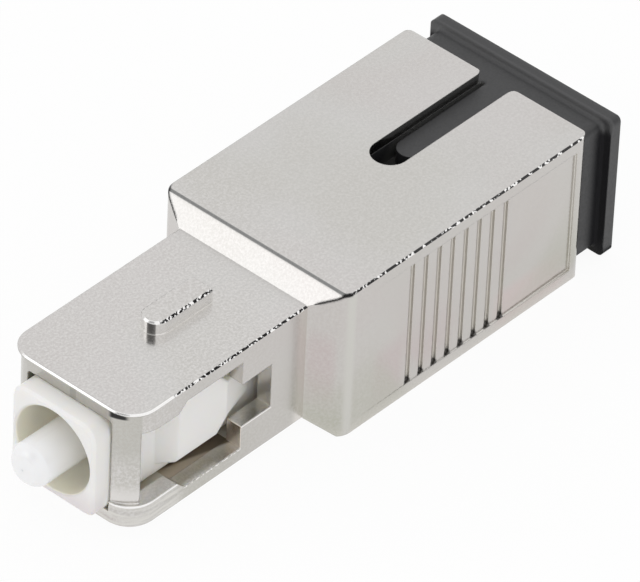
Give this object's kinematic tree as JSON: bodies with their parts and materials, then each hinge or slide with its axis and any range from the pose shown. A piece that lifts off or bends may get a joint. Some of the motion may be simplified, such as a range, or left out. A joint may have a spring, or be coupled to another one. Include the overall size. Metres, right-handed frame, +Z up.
{
  "type": "hybrid fibre adapter",
  "caption": "Hybrid fibre adapter: satin nickel shell with a push-pull plug and white ferrule at one end, and a black receptacle for a smaller ferrule plug at the other.",
  "frame": {"origin": "on the optical axis, at the shoulder between the plug and the body", "axes": "+X along the optical axis out of the plug, +Z up towards the key, +Y to the left when looking along +X"},
  "size_m": [0.0384, 0.0126, 0.0094],
  "materials": {
    "nickel_plate": "satin",
    "black_plastic": "satin",
    "white_plastic": "satin",
    "zirconia": "gloss",
    "turned_metal": "satin",
    "silica": "gloss",
    "spring_steel": "satin",
    "holder_plastic": "satin"
  },
  "bodies": {
    "shell": {"shell": "nickel_plate"},
    "core": {"receptacle": "black_plastic", "plug_frame": "white_plastic", "spring_stop": "turned_metal", "sleeve_holder": "holder_plastic", "split_sleeve": "zirconia", "spring": "spring_steel"},
    "ferrule": {"plug_ferrule": "zirconia", "ferrule_flange": "turned_metal", "stub_ferrule": "zirconia", "fibre": "silica"}
  },
  "joints": [
    {"name": "release_slide", "type": "slide", "parent": "shell", "child": "core", "axis": [1, 0, 0], "range_m": [0, 0.0012]},
    {"name": "ferrule_float", "type": "slide", "parent": "core", "child": "ferrule", "axis": [-1, 0, 0], "range_m": [0, 0.0009], "stiffness_N_per_m": 2000, "springref_m": -0.0041, "deforming": ["spring"]}
  ]
}
